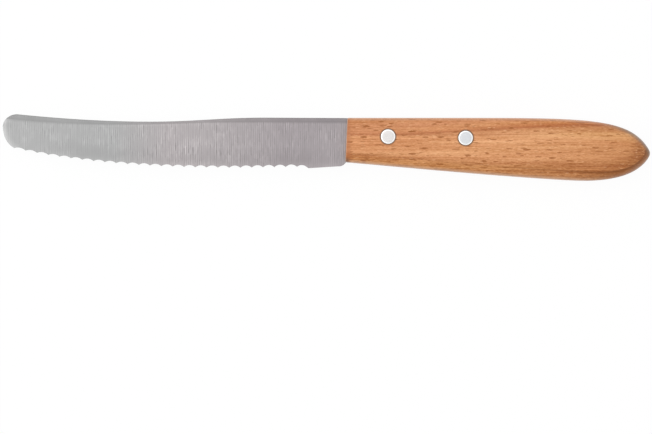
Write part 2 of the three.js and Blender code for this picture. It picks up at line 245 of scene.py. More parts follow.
def crowd(end, inner, steps):
    """Places from a rounded end inwards, closest together at that end."""
    return mix(inner, end, np.cos(np.linspace(0, math.pi / 2, steps)))


def placed(points):
    """Millimetres from the joint, turned into metres in the frame."""
    return np.asarray(points, float) * MM + np.array(JOINT)


def new_piece(name, points, faces, edges=()):
    mesh = bpy.data.meshes.new(name)
    mesh.from_pydata(points.tolist(), list(edges), faces)
    mesh.update()
    piece = bpy.data.objects.new(name, mesh)
    bpy.context.scene.collection.objects.link(piece)
    return piece


def loft(name, rings):
    """Closed mesh through rings that each run from +Y towards +Z, and follow each other along +X."""
    stations, around, _ = rings.shape
    index = np.arange(stations * around).reshape(stations, around)
    ahead = np.roll(index, -1, axis=1)
    sides = np.stack([index[:-1], ahead[:-1], ahead[1:], index[1:]], axis=-1).reshape(-1, 4)
    faces = sides.tolist() + [index[0][::-1].tolist(), index[-1].tolist()]
    return new_piece(name, placed(rings.reshape(-1, 3)), faces)


def prism(name, outline, low, high):
    """Closed body of an outline that runs anticlockwise, from one height to another."""
    count = len(outline)
    floor = [(x, y, low) for x, y in outline]
    roof = [(x, y, high) for x, y in outline]
    sides = [(i, (i + 1) % count, (i + 1) % count + count, i + count) for i in range(count)]
    faces = sides + [tuple(range(count))[::-1], tuple(range(count, 2 * count))]
    return new_piece(name, placed(floor + roof), faces)


def store(piece, name, values):
    """Keeps one number for each point of a piece, for its rule or its finish to read."""
    layer = piece.data.attributes.new(name, "FLOAT", "POINT")
    layer.data.foreach_set("value", np.ascontiguousarray(values, np.float32).ravel())


def settle(piece):
    """Turns what the modifiers make into the piece's own plain mesh."""
    depsgraph = bpy.context.evaluated_depsgraph_get()
    settled = bpy.data.meshes.new_from_object(piece.evaluated_get(depsgraph), depsgraph=depsgraph)
    settled.name = piece.name
    piece.modifiers.clear()
    piece.data = settled


def cut(piece, cutters):
    for cutter in cutters:
        modifier = piece.modifiers.new(cutter.name, "BOOLEAN")
        modifier.operation = "DIFFERENCE"
        modifier.solver = "EXACT"
        modifier.object = cutter
    settle(piece)
    for cutter in cutters:
        bpy.data.objects.remove(cutter)


def round_off(piece):
    """Shades a piece smooth, apart from its sharp edges."""
    piece.data.shade_smooth()
    piece.data.set_sharp_from_angle(angle=math.radians(SHARP_ANGLE))


def dress(piece, finish, slot, *nodes):
    """Gives a finished piece its material and its place in the frame."""
    piece.data.materials.clear()
    piece.data.materials.append(finish)
    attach(piece, "root")
    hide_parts(*nodes)


# Small helpers for node trees
def fill(tree, node, inputs):
    """Sets a node's inputs to values, or links them to the sockets of other nodes."""
    for key, value in inputs.items():
        if isinstance(value, bpy.types.NodeSocket):
            tree.links.new(value, node.inputs[key])
        else:
            node.inputs[key].default_value = value


def add(tree, kind, inputs=None, **settings):
    made = tree.nodes.new(kind)
    for name, value in settings.items():
        setattr(made, name, value)
    fill(tree, made, inputs or {})
    return made


def calc(tree, operation, *terms, clamp=False):
    inputs = dict(enumerate(terms))
    return add(tree, "ShaderNodeMath", inputs, operation=operation, use_clamp=clamp).outputs[0]


def plus(tree, first, second):
    return calc(tree, "ADD", first, second)


def minus(tree, first, second, clamp=False):
    return calc(tree, "SUBTRACT", first, second, clamp=clamp)


def times(tree, first, *others):
    product = first
    for other in others:
        product = calc(tree, "MULTIPLY", product, other)
    return product


def split(tree, vector):
    return add(tree, "ShaderNodeSeparateXYZ", {0: vector}).outputs


def join(tree, x, y, z):
    return add(tree, "ShaderNodeCombineXYZ", {0: x, 1: y, 2: z}).outputs[0]


def ranged(tree, value, low, high, to_low=0.0, to_high=1.0, smooth=False):
    """Maps a range of values onto another one, and holds what lies outside at its ends."""
    kind = "SMOOTHSTEP" if smooth else "LINEAR"
    limits = {"Value": value, "From Min": low, "From Max": high, "To Min": to_low, "To Max": to_high}
    return add(tree, "ShaderNodeMapRange", limits, interpolation_type=kind).outputs[0]


def new_rule(name, **inputs):
    """Starts a geometry tree with named inputs, and gives back its sockets."""
    tree = bpy.data.node_groups.new(name, "GeometryNodeTree")
    tree.interface.new_socket("Geometry", in_out="OUTPUT", socket_type="NodeSocketGeometry")
    tree.interface.new_socket("Geometry", in_out="INPUT", socket_type="NodeSocketGeometry")
    for label, kind in inputs.items():
        tree.interface.new_socket(label, in_out="INPUT", socket_type="NodeSocket" + kind)
    return tree, add(tree, "NodeGroupInput").outputs


def end_rule(tree, geometry, finish):
    realized = add(tree, "GeometryNodeRealizeInstances", {"Geometry": geometry}).outputs[0]
    painted = add(tree, "GeometryNodeSetMaterial", {"Geometry": realized, "Material": finish}).outputs[0]
    add(tree, "NodeGroupOutput", {0: painted})


def follow_rule(piece, tree, **values):
    """Lets a geometry tree shape a piece, with its inputs set before it first runs."""
    modifier = piece.modifiers.new(tree.name, "NODES")
    modifier.node_group = tree
    for socket in tree.interface.items_tree:
        if socket.in_out == "INPUT" and socket.name in values:
            modifier[socket.identifier] = values[socket.name]
    settle(piece)


# Outlines
def spine_line():
    """Upper outline of the blade, from the foremost point to the end of the tang."""
    dip = (-SPINE_DIP_AT, -SPINE_DIP_DEPTH)
    nose = arc((NOSE_TOP, -NOSE_DEPTH), (NOSE_TOP_SETBACK, NOSE_DEPTH + NOSE_TOP_RISE), 180, 90)
    fall = bezier((NOSE_TOP, NOSE_TOP_RISE), (-SPINE_BEND_AT, -SPINE_DIP_DEPTH), dip)
    rise = bezier(
        dip,
        (SHOULDER_EASE - SPINE_DIP_AT, -SPINE_DIP_DEPTH),
        (-SPINE_SHOULDER_AT - SHOULDER_EASE, SPINE_SHOULDER_RISE),
        (-SPINE_SHOULDER_AT, SPINE_SHOULDER_RISE),
    )
    tang = [(0, 0), (TANG_STEP, -TANG_RECESS), (TANG_CORNER, -TANG_RECESS)]
    corner = bezier(tang[-1], (TANG_END, -TANG_RECESS), (TANG_END, -TANG_RECESS - TANG_END_RADIUS))
    return np.vstack([nose, fall[1:], rise[1:], tang, corner[1:]])


def chin_line():
    return bezier((-BLADE_LENGTH, -NOSE_DEPTH), (-BLADE_LENGTH, -CHIN_BEND_DEPTH), (CHIN_END, -CHIN_DEPTH))


def tooth_line(handle_bottom):
    """Lower outline of the blade through the tooth points, from the nose to the end of the tang."""
    def tang_lower(x):
        return height_on(handle_bottom, x) + TANG_RECESS

    belly = bezier((CHIN_END, -CHIN_DEPTH), (-BELLY_BEND_AT, -BELLY_DEPTH), (-BELLY_AT, -BELLY_DEPTH))
    heel = [
        (-PLAIN_HEEL_LENGTH - WAVE_PITCH, -LAST_TOOTH_DEPTH),
        (-PLAIN_HEEL_LENGTH, -PLAIN_HEEL_DEPTH),
        (-HEEL_CORNER_LENGTH, -HEEL_CORNER_DEPTH),
    ]
    heel_corner = bezier(heel[-1], (-HEEL_CORNER_BEND, -HEEL_CORNER_DEPTH), (0, tang_lower(0)))
    tang = [(x, tang_lower(x)) for x in np.linspace(0, TANG_CORNER, TANG_STEPS)]
    end = tang_lower(TANG_END)
    corner = bezier(tang[-1], (TANG_END, end), (TANG_END, end + TANG_END_RADIUS))
    return np.vstack([chin_line(), belly[1:], heel, heel_corner[1:], tang[1:], corner[1:]])


def butt_end(leave, leave_bend, reach, side):
    """Curve along the butt, and the small arc at its tip."""
    angle = math.radians(side * BUTT_TIP_HALF_ANGLE)
    middle = (HANDLE_LENGTH - BUTT_TIP_RADIUS, -BUTT_POINT_DEPTH)
    start = (middle[0] + BUTT_TIP_RADIUS * math.cos(angle), middle[1] + BUTT_TIP_RADIUS * math.sin(angle))
    bend = (start[0] - reach * abs(math.sin(angle)), start[1] + side * reach * math.cos(angle))
    tip = arc(middle, (BUTT_TIP_RADIUS, BUTT_TIP_RADIUS), side * BUTT_TIP_HALF_ANGLE, 0)
    return np.vstack([bezier(leave, leave_bend, bend, start), tip[1:]])


def handle_top_line():
    leave = (TOP_STRAIGHT_LENGTH, 0)
    leave_bend = (TOP_STRAIGHT_LENGTH + TOP_CURVE_EASE, 0)
    return np.vstack([[(0, 0)], butt_end(leave, leave_bend, BUTT_UPPER_EASE, 1)])


def handle_bottom_line():
    belly = (HANDLE_BELLY_AT, -HANDLE_BELLY_DEPTH)
    front = bezier(
        (0, -HANDLE_FRONT_HEIGHT),
        (LOWER_EDGE_BEND_AT, -LOWER_EDGE_BEND_DEPTH),
        (HANDLE_BELLY_AT - BELLY_FRONT_EASE, -HANDLE_BELLY_DEPTH),
        belly,
    )
    leave_bend = (HANDLE_BELLY_AT + BELLY_REAR_EASE, -HANDLE_BELLY_DEPTH)
    return np.vstack([front, butt_end(belly, leave_bend, BUTT_LOWER_EASE, -1)[1:]])


def rivet_hole(place, diameter, low, high):
    angles = np.linspace(0, 2 * math.pi, RIVET_SIDES, endpoint=False)
    radius = diameter / 2 + RIVET_CLEARANCE
    outline = [(place.x + radius * math.cos(a), place.y + radius * math.sin(a)) for a in angles]
    return prism("rivet_hole", outline, low, high)


# Blade
def bevel_width(x):
    """Width of the spine's bevel: broad at the nose and the heel, narrow where the spine dips."""
    to_nose = ease(-x, SPINE_BEVEL_NARROWS_AT, BLADE_LENGTH - CHIN_LENGTH)
    to_heel = ease(x, -SPINE_BEVEL_NARROWS_AT, -SPINE_SHOULDER_AT)
    forward = mix(SPINE_BEVEL_AT_DIP, SPINE_BEVEL_AT_NOSE, to_nose)
    backward = mix(SPINE_BEVEL_AT_DIP, SPINE_BEVEL_AT_HEEL, to_heel)
    width = np.where(x < -SPINE_BEVEL_NARROWS_AT, forward, backward)
    return mix(width, TANG_BEVEL_WIDTH, ease(x, 0, TANG_BEVEL_FADE))


def spine_over(x, spine):
    """Height of the spine's line, which runs straight on over the round nose."""
    return np.where(x < NOSE_TOP, NOSE_TOP_RISE + SPINE_RUN_ON * (NOSE_TOP - x), height_on(spine, x))


def nose_roll(x, y, spine):
    """Runs from 1 on the outline of the round nose to 0 where its soft rounding ends."""
    nose = np.vstack([chin_line()[::-1], spine[spine[:, 0] < NOSE_TOP][1:]])
    past_chin = ease(x + BLADE_LENGTH, NOSE_TOP_SETBACK, 2 * CHIN_LENGTH)
    near = past_chin < 1
    roll = np.zeros_like(x)
    roll[near] = np.clip(1 - distance_to(nose, x[near], y[near]) / NOSE_ROLL_WIDTH, 0, 1)
    return roll * (1 - past_chin)


def blade_stations():
    return np.concatenate([
        crowd(-BLADE_LENGTH, WAVE_START, NOSE_STEPS)[:-1],
        np.linspace(WAVE_START, -PLAIN_HEEL_LENGTH, WAVES * WAVE_STEPS + 1),
        np.linspace(-PLAIN_HEEL_LENGTH, -HEEL_CORNER_LENGTH, HEEL_STEPS)[1:-1],
        np.linspace(-HEEL_CORNER_LENGTH, 0, HEEL_STEPS),
        np.linspace(0, TANG_BEVEL_FADE, FRONT_ROUND_STEPS)[1:-1],
        np.linspace(TANG_BEVEL_FADE, TANG_CORNER, TANG_STEPS),
        crowd(TANG_END, TANG_CORNER, HEEL_STEPS)[-2::-1],
    ])


def blade_rows(top, bottom, bevel):
    """Heights of one face's rows, from the spine to the edge."""
    shoulder = top - bevel
    fade = bottom + np.minimum(WAVE_FADE, (top - bottom) * FADE_SHARE)
    return np.concatenate([
        np.linspace(top - SPINE_ROUND, shoulder, BEVEL_ROWS),
        np.linspace(shoulder, fade, FACE_ROWS)[1:],
        np.linspace(fade, bottom, EDGE_ROWS)[1:],
    ])


def ground_halves(x):
    """Half the thickness that the grinding leaves at the spine and at the edge."""
    spine_half = mix(BLADE_THICKNESS, TIP_THICKNESS, np.clip(-x / BLADE_LENGTH, 0, 1)) / 2
    edge_half = mix(BLADE_THICKNESS, EDGE_THICKNESS, ease(-x, 0, GRIND_RUNOUT)) / 2
    return spine_half, np.minimum(edge_half, spine_half)


def both_faces(crown, rows, reverse=1):
    """A ring's values: from the crown down the show face, and back up the reverse face times a factor."""
    face = np.column_stack([np.broadcast_to(crown, len(rows)), rows])
    return np.hstack([face, reverse * face[:, ::-1]])


def blade_blank(spine, teeth):
    """The ground blade with a plain edge, and what the wave grinder needs to know at each point."""
    stations = blade_stations()
    top = height_on(spine, stations)
    bottom = np.minimum(height_on(teeth, stations), top - LEAST_HEIGHT)
    facet = bevel_width(stations) - (spine_over(stations, spine) - top)
    bevel = np.clip(facet, (top - bottom) * LEAST_BEVEL_SHARE, (top - bottom) * BEVEL_SHARE)
    y = np.stack([blade_rows(*heights) for heights in zip(top, bottom, bevel)])
    x = np.repeat(stations[:, None], y.shape[1], axis=1)

    spine_half, edge_half = ground_halves(x)
    face_height = (top - bevel - bottom)[:, None]
    down = np.clip(((top - bevel)[:, None] - y) / face_height, 0, 1)
    bevel_share = 1 - (spine_over(x, spine) - y) / bevel_width(x)
    bevel_depth = mix(SPINE_BEVEL_SLOPE * bevel_width(x), TANG_BEVEL_DEPTH, ease(x, 0, TANG_BEVEL_FADE))
    roll = nose_roll(x, y, spine)
    half = mix(spine_half, edge_half, down) - bevel_depth * np.clip(bevel_share, 0, 1)
    half = np.maximum(half - NOSE_ROLL_DEPTH * roll ** 2, EDGE_LAND)
    crown = np.maximum(half[:, 0] - CROWN_INSET, LEAST_CROWN)

    rings = [both_faces(stations, x), both_faces(top, y), both_faces(crown, half, -1)]
    blade = loft("blade_wavy_edge", np.stack(rings, axis=-1))
    store(blade, "edge_height", both_faces(1, (y - bottom[:, None]) * MM))
    store(blade, "face_side", both_faces(0, np.ones_like(x), -1))
    store(blade, "taper", both_faces(0, (spine_half - edge_half) / face_height))
    store(blade, "bevel", both_faces(1, bevel_share))
    store(blade, "nose_roll", both_faces(0, roll))
    return blade


def named_value(tree, name):
    return add(tree, "GeometryNodeInputNamedAttribute", {"Name": name}, data_type="FLOAT").outputs[0]


def wave_rule():
    """Cuts a row of hollows into the edge and grinds an arch above each from the reverse face."""
    lengths = (
        "Wave pitch", "First tooth", "Last tooth", "Depth at nose", "Depth at heel",
        "Fade height", "Tooth rise", "Arch rise", "Grind depth", "Runout",
    )
    tree, given = new_rule("wavy edge", **{label: "Float" for label in lengths}, Finish="Material")
    first = given["First tooth"]
    last = given["Last tooth"]
    x = split(tree, add(tree, "GeometryNodeInputPosition").outputs[0])[0]
    height = named_value(tree, "edge_height")
    side = named_value(tree, "face_side")

    past_first = minus(tree, x, first)
    within = calc(tree, "MINIMUM", past_first, minus(tree, last, x))
    into_wave = calc(tree, "FRACT", calc(tree, "DIVIDE", past_first, given["Wave pitch"]))
    arch = times(tree, into_wave, minus(tree, 1, into_wave), 4)  # 1 in the middle of each wave
    hollow = times(tree, arch, calc(tree, "GREATER_THAN", within, 0))
    depth = ranged(tree, x, first, last, given["Depth at nose"], given["Depth at heel"])
    edge_lift = times(tree, hollow, depth)
    lift = times(tree, edge_lift, ranged(tree, height, 0, given["Fade height"], 1, 0))
    above_cut = minus(tree, plus(tree, height, lift), edge_lift)

    waved = ranged(tree, times(tree, within, -1), 0, given["Runout"], 1, 0, smooth=True)
    rise = plus(tree, given["Tooth rise"], times(tree, hollow, given["Arch rise"], waved))
    ground = minus(tree, 1, calc(tree, "DIVIDE", above_cut, rise), clamp=True)
    on_reverse = calc(tree, "LESS_THAN", side, 0)
    grind = times(tree, ground, waved, on_reverse, given["Grind depth"])

    widen = times(tree, lift, side, named_value(tree, "taper"))
    offset = join(tree, 0, lift, plus(tree, widen, grind))
    shift = {"Geometry": given["Geometry"], "Offset": offset}
    moved = add(tree, "GeometryNodeSetPosition", shift).outputs[0]
    end_rule(tree, moved, given["Finish"])
    return tree


def make_blade(finish):
    blade = blade_blank(spine_line(), tooth_line(handle_bottom_line()))
    sizes = {
        "Wave pitch": WAVE_PITCH,
        "Depth at nose": WAVE_DEPTH_AT_NOSE,
        "Depth at heel": WAVE_DEPTH_AT_HEEL,
        "Fade height": WAVE_FADE,
        "Tooth rise": TOOTH_BEVEL_RISE,
        "Arch rise": ARCH_RISE,
        "Grind depth": EDGE_THICKNESS - EDGE_LAND,
        "Runout": WAVE_RUNOUT,
    }
    values = {label: size * MM for label, size in sizes.items()}
    values["First tooth"] = JOINT.x + WAVE_START * MM
    values["Last tooth"] = JOINT.x - PLAIN_HEEL_LENGTH * MM
    follow_rule(blade, wave_rule(), Finish=finish, **values)
    through = (RIVET_SLEEVE_DIAMETER, -HALF_HANDLE, HALF_HANDLE)
    cut(blade, [rivet_hole(place, *through) for place in RIVET_PLACES])
    round_off(blade)
    dress(blade, finish, "blade_steel", "blade")


# Handle
def handle_ring(x, top, bottom):
    """One section: an upright oblong with rounded corners, flat on both faces."""
    past_front = np.clip(x / FRONT_EDGE_ROUND, 0, 1)
    drawn_in = FRONT_EDGE_ROUND * (1 - math.sqrt(1 - (1 - past_front) ** 2))
    top = top - drawn_in
    bottom = bottom + drawn_in
    middle = (top + bottom) / 2
    half_height = (top - bottom) / 2
    roll = np.clip((x - HANDLE_LENGTH) / BUTT_ROLL_LENGTH + 1, 0, 1)
    rolled_off = (HALF_HANDLE - BUTT_END_THICKNESS / 2) * (1 - math.sqrt(1 - roll ** 2))
    half = HALF_HANDLE - rolled_off - drawn_in
    backward = ease(x, RIVET_PLACES[-1].x, HANDLE_BELLY_AT)
    round_height = min(mix(FRONT_ROUND_HEIGHT, REAR_ROUND_HEIGHT, backward), half_height * ROUND_SHARE)
    round_depth = min(mix(FRONT_ROUND_DEPTH, REAR_ROUND_DEPTH, backward), half * ROUND_SHARE)
    slant = FRONT_SLANT * (1 - ease(x, 0, FRONT_SLANT_FADE))
    ring = []
    for corner in range(4):
        up = 1 if corner in (0, 3) else -1
        out = 1 if corner < 2 else -1
        for angle in np.linspace(corner, corner + 1, CORNER_STEPS) * math.pi / 2:
            y = middle + up * (half_height - round_height) + round_height * math.cos(angle)
            z = out * (half - round_depth) + round_depth * math.sin(angle)
            above_middle = y / HANDLE_FRONT_HEIGHT + 1 / 2
            ring.append((x + slant * above_middle, y, z))
    return ring


def saw_slot():
    """Body of the sawn slot, whose end has the curve of the saw."""
    top = CUT_MARGIN
    bottom = -HANDLE_BELLY_DEPTH - CUT_MARGIN
    reach = math.degrees(math.asin((top - bottom) / 2 / SAW_RADIUS))
    middle = (TANG_END + SLOT_END_GAP - SAW_RADIUS, (top + bottom) / 2)
    end = arc(middle, (SAW_RADIUS, SAW_RADIUS), -reach, reach)
    outline = [(-CUT_MARGIN, top), (-CUT_MARGIN, bottom), *end.tolist()]
    half = BLADE_THICKNESS / 2 + SLOT_CLEARANCE
    return prism("saw_slot", outline, -half, half)


def make_handle(finish):
    top = handle_top_line()
    bottom = handle_bottom_line()
    stations = np.concatenate([
        np.linspace(0, FRONT_EDGE_ROUND, FRONT_ROUND_STEPS),
        np.linspace(FRONT_EDGE_ROUND, HANDLE_BELLY_AT, HANDLE_STEPS)[1:],
        crowd(HANDLE_LENGTH, HANDLE_BELLY_AT, BUTT_STEPS)[-2::-1],
    ])
    rings = [handle_ring(x, height_on(top, x), height_on(bottom, x)) for x in stations]
    handle = loft("handle_beech", np.array(rings))
    sunk = HALF_HANDLE - RIVET_HEAD_THICKNESS - RIVET_CLEARANCE
    cutters = [saw_slot()]
    for place in RIVET_PLACES:
        cutters.append(rivet_hole(place, RIVET_SLEEVE_DIAMETER, -HALF_HANDLE, HALF_HANDLE))
        cutters.append(rivet_hole(place, RIVET_HEAD_DIAMETER, sunk, HALF_HANDLE + CUT_MARGIN))
        cutters.append(rivet_hole(place, RIVET_HEAD_DIAMETER, -HALF_HANDLE - CUT_MARGIN, -sunk))
    cut(handle, cutters)
    points = np.array([(vertex.co - JOINT) / MM for vertex in handle.data.vertices])
    store(handle, "back", distance_to(top, points[:, 0], points[:, 1]))
    store(handle, "belly", distance_to(bottom, points[:, 0], points[:, 1]))
    round_off(handle)
    dress(handle, finish, "handle_beech", "handle")


# Rivets
def turning_rule():
    """Turns a profile of radius and inward depth about its axis, and sets a copy at each rivet."""
    tree, given = new_rule(
        "turned rivet halves", Sides="Int", Rivets="Int", First="Vector", Step="Vector", Turn="Vector",
        Finish="Material",
    )
    profile = given["Geometry"]
    count = add(tree, "GeometryNodeAttributeDomainSize", {"Geometry": profile}, component="MESH").outputs[0]
    columns = plus(tree, given["Sides"], 1)
    grid = add(tree, "GeometryNodeMeshGrid", {"Vertices X": columns, "Vertices Y": count}).outputs[0]

    index = add(tree, "GeometryNodeInputIndex").outputs[0]
    mid_step = plus(tree, index, 0.5)  # half a step on, so that rounding never picks the column before
    column = calc(tree, "FLOOR", calc(tree, "DIVIDE", mid_step, count))
    row = minus(tree, index, times(tree, column, count))
    position = add(tree, "GeometryNodeInputPosition").outputs[0]
    sample = {"Geometry": profile, "Value": position, "Index": row}
    drawn = add(tree, "GeometryNodeSampleIndex", sample, data_type="FLOAT_VECTOR").outputs[0]
    radius, inward, _ = split(tree, drawn)
    angle = calc(tree, "DIVIDE", times(tree, column, math.tau), given["Sides"])
    x = times(tree, radius, calc(tree, "COSINE", angle))
    y = times(tree, radius, calc(tree, "SINE", angle))
    bend = {"Geometry": grid, "Position": join(tree, x, y, inward)}
    turned = add(tree, "GeometryNodeSetPosition", bend).outputs[0]
    seams = {"Geometry": turned, "Distance": SEAM_WIDTH * MM}
    closed = add(tree, "GeometryNodeMergeByDistance", seams).outputs[0]

    steps = {"Count": given["Rivets"], "Start Location": given["First"], "Offset": given["Step"]}
    places = add(tree, "GeometryNodeMeshLine", steps).outputs[0]
    turn = add(tree, "FunctionNodeEulerToRotation", {0: given["Turn"]}).outputs[0]
    setting = {"Points": places, "Instance": closed, "Rotation": turn}
    copies = add(tree, "GeometryNodeInstanceOnPoints", setting).outputs[0]
    end_rule(tree, copies, given["Finish"])
    return tree


def head_profile(shank_radius):
    """Radius and depth inward of a head that is ground flat, with a rim that rolls off."""
    radius = RIVET_HEAD_DIAMETER / 2
    rim = radius - RIVET_HEAD_CHAMFER
    flat = radius * RIVET_FLAT_SHARE
    return [
        (0, 0),
        (flat / 2, 0),
        (flat, 0),
        ((flat + rim) / 2, RIVET_RIM_DROP / 3),
        (rim, RIVET_RIM_DROP),
        (radius, RIVET_HEAD_CHAMFER + RIVET_RIM_DROP),
        (radius, RIVET_HEAD_THICKNESS),
        (shank_radius, RIVET_HEAD_THICKNESS),
    ]


def pin_profile():
    radius = RIVET_PIN_DIAMETER / 2
    length = HANDLE_THICKNESS - RIVET_FLOOR - RIVET_END_GAP
    return head_profile(radius) + [(radius, length), (0, length)]


def sleeve_profile():
    radius = RIVET_SLEEVE_DIAMETER / 2
    bore = RIVET_PIN_DIAMETER / 2 + PRESS_CLEARANCE
    length = HANDLE_THICKNESS - RIVET_HEAD_THICKNESS - RIVET_END_GAP
    return head_profile(radius) + [(radius, length), (bore, length), (bore, RIVET_FLOOR), (0, RIVET_FLOOR)]


def make_rivet_halves(name, ending, profile, rule, finish, face):
    """Both rivets' pins, or both their sleeves, with their heads in one face of the handle."""
    drawn = np.array([(radius, inward, 0) for radius, inward in profile]) * MM
    halves = new_piece(name, drawn, [], [(i, i + 1) for i in range(len(drawn) - 1)])
    start, end = [placed((place.x, place.y, face * HALF_HANDLE)) for place in RIVET_PLACES]
    turn = (math.pi if face > 0 else 0.0, 0.0, 0.0)
    follow_rule(
        halves, rule, Sides=RIVET_SIDES, Rivets=len(RIVET_NAMES), First=start.tolist(),
        Step=(end - start).tolist(), Turn=turn, Finish=finish,
    )
    round_off(halves)
    dress(halves, finish, "rivet_aluminium", *[rivet + ending for rivet in RIVET_NAMES])


# Materials
def colour(red, green, blue):
    """Linear colour of a tone that is given as it shows on a screen, each channel from 0 to 255."""
    shares = [channel / 255 for channel in (red, green, blue)]
    linear = [share / 12.92 if share <= 0.04045 else ((share + 0.055) / 1.055) ** 2.4 for share in shares]
    return (*linear, 1.0)


WHITE = colour(255, 255, 255)
NOISE_SPAN = (0.3, 0.7)  # what most of a noise's values lie between


def new_finish(name):
    finish = bpy.data.materials.new(name)
    finish.use_nodes = True
    tree = finish.node_tree
    return finish, tree, tree.nodes["Principled BSDF"]


def object_point(tree):
    return add(tree, "ShaderNodeTexCoord").outputs["Object"]


def attribute(tree, name):
    return add(tree, "ShaderNodeAttribute", attribute_name=name).outputs["Fac"]


def in_grains(tree, point, grain):
    """The point, counted in grains of the given sizes along the three axes, in millimetres."""
    scale = [1 / (size * MM) for size in grain]
    return add(tree, "ShaderNodeMapping", {"Vector": point, "Scale": scale}).outputs[0]


def streaks(tree, point, grain, detail=2.0):
    """Noise whose grains have the given sizes."""
    noise = {"Vector": in_grains(tree, point, grain), "Scale": 1.0, "Detail": detail}
    return add(tree, "ShaderNodeTexNoise", noise).outputs[0]


def off_mean(tree, noise):
    """How far a noise, which runs from 0 to 1, lies off its mean."""
    return minus(tree, noise, 0.5)


def tint(tree, share, first, second, blend="MIX"):
    made = add(tree, "ShaderNodeMix", {0: share, 6: first, 7: second}, data_type="RGBA", blend_type=blend)
    return made.outputs[2]


def multiply(tree, share, tone, second):
    """Multiplies a tone by another one, as far as the share says."""
    return tint(tree, share, tone, second, "MULTIPLY")


def ramp(tree, value, stops):
    made = add(tree, "ShaderNodeValToRGB", {0: value})
    points = made.color_ramp.elements
    while len(points) < len(stops):
        points.new(0.5)
    for point, (position, tone) in zip(points, stops):
        point.position = position
        point.color = tone
    return made.outputs[0]


def grey_ramp(tree, value, levels):
    return ramp(tree, value, [(place, (level, level, level, 1.0)) for place, level in levels])


def grey(tree, value):
    """A grey colour of that level."""
    return add(tree, "ShaderNodeCombineColor", {0: value, 1: value, 2: value}).outputs[0]


def bump(tree, height, distance):
    return add(tree, "ShaderNodeBump", {"Height": height, "Distance": distance}).outputs[0]


# Steel of the blade, with places from the nose (0) to the joint (1) or in millimetres before the joint
STEEL_TIP = colour(153, 153, 153)
STEEL_MIDDLE = colour(158, 153, 154)
# the heel's darker tone is painted shade, for light that falls off towards the handle
STEEL_HEEL_SHADED = colour(148, 142, 144)
STEEL_WARMS = (78, 60)
STEEL_HEEL_SHADE_SPAN = (48, 20)
LINE_WIDTH = 0.36
LINE_LENGTH = 2.8
LINE_WANDER = 1.6
LINE_SWAY = 1.5  # in widths of a line
LINE_STARTS = 9  # lengths over which the starts of the lines are spread
LINE_CONTRAST = ((0.0, 0.35), (0.28, 0.32), (0.45, 0.41), (0.6, 0.52), (0.8, 0.31))
LINE_SPAN = (-0.5, 0.5)
LINES_ON_BEVEL = 0.2  # their share of strength there
BEVEL_BORDER = (-0.1, 0.1)  # in shares of the bevel's width
FINE_STREAKS = (0.5, 2.4, 8)
PATCHES = (5, 4, 16)
PATCH_SPAN = (0.36, 0.66)
PATCH_GAINS = (0.35, 1.4)
PATCH_CONTRAST = 0.16
EDGE_LINES_HEIGHT = 5  # above the edge, where the lines grow fainter
EDGE_LINES_GAIN = 0.65
STEEL_ROUGHNESS = (0.3, 0.42)
STEEL_RELIEF = 0.006
BEVEL_REACH = 0.8  # how far below the bevel, in shares of its width, its border still shows
# painted shade: the spine's bevel is darkened for the darker reflection of its tilted face
BEVEL_SHADE_TONES = ((0.25, 1.0), (0.44, 0.79), (0.53, 0.67), (0.7, 0.74), (0.9, 0.75), (1.0, 0.67))
BEVEL_SHADE_STRENGTH = ((0.0, 0.72), (0.12, 0.72), (0.3, 0.76), (0.6, 0.82), (1.0, 0.9))
NOSE_HIGHLIGHT = 0.3  # how much paler the nose's rounding is at its outline, as a painted highlight
# painted highlight: a pale line just below the spine's bevel
HIGHLIGHT_TONES = ((0.0, 1.0), (0.12, 1.06), (0.24, 1.03), (0.4, 1.0))
HIGHLIGHT_FROM = (86, 80)
HIGHLIGHT_TO = (60, 54)
EDGE_ZONE = 8  # height of the zone along the edge that is paler right at the edge and darker in a band above it
EDGE_TONES = ((0.0, 1.04), (0.1, 0.99), (0.22, 0.945), (0.4, 0.925), (0.62, 0.96), (0.85, 1.0))
EDGE_ZONE_START = (104, 94)


def along_blade(tree, x, span):
    """Runs from 0 to 1 between two distances in front of the joint."""
    return ranged(tree, x, JOINT.x - span[0] * MM, JOINT.x - span[1] * MM)


def chance(tree, **place):
    """A random share for each whole-numbered place on a line or in a plane."""
    kind = "1D" if "W" in place else "2D"
    return add(tree, "ShaderNodeTexWhiteNoise", place, noise_dimensions=kind).outputs["Value"]


def grind_lines(tree, point):
    """Fine straight lines from spine to edge, pale and dark in turn, in lengths of different strength."""
    x, y, _ = split(tree, point)
    slow = calc(tree, "DIVIDE", x, LINE_WANDER * MM)
    wander = add(tree, "ShaderNodeTexNoise", {"W": slow, "Scale": 1.0}, noise_dimensions="1D").outputs[0]
    place = plus(tree, calc(tree, "DIVIDE", x, LINE_WIDTH * MM), times(tree, wander, LINE_SWAY))
    column = calc(tree, "FLOOR", place)
    pale = off_mean(tree, calc(tree, "FLOORED_MODULO", column, 2))
    start = times(tree, chance(tree, W=column), LINE_STARTS)
    length = calc(tree, "FLOOR", plus(tree, calc(tree, "DIVIDE", y, LINE_LENGTH * MM), start))
    strength = chance(tree, Vector=join(tree, column, length, 0))
    fine = off_mean(tree, streaks(tree, point, FINE_STREAKS))
    return plus(tree, fine, times(tree, pale, strength))


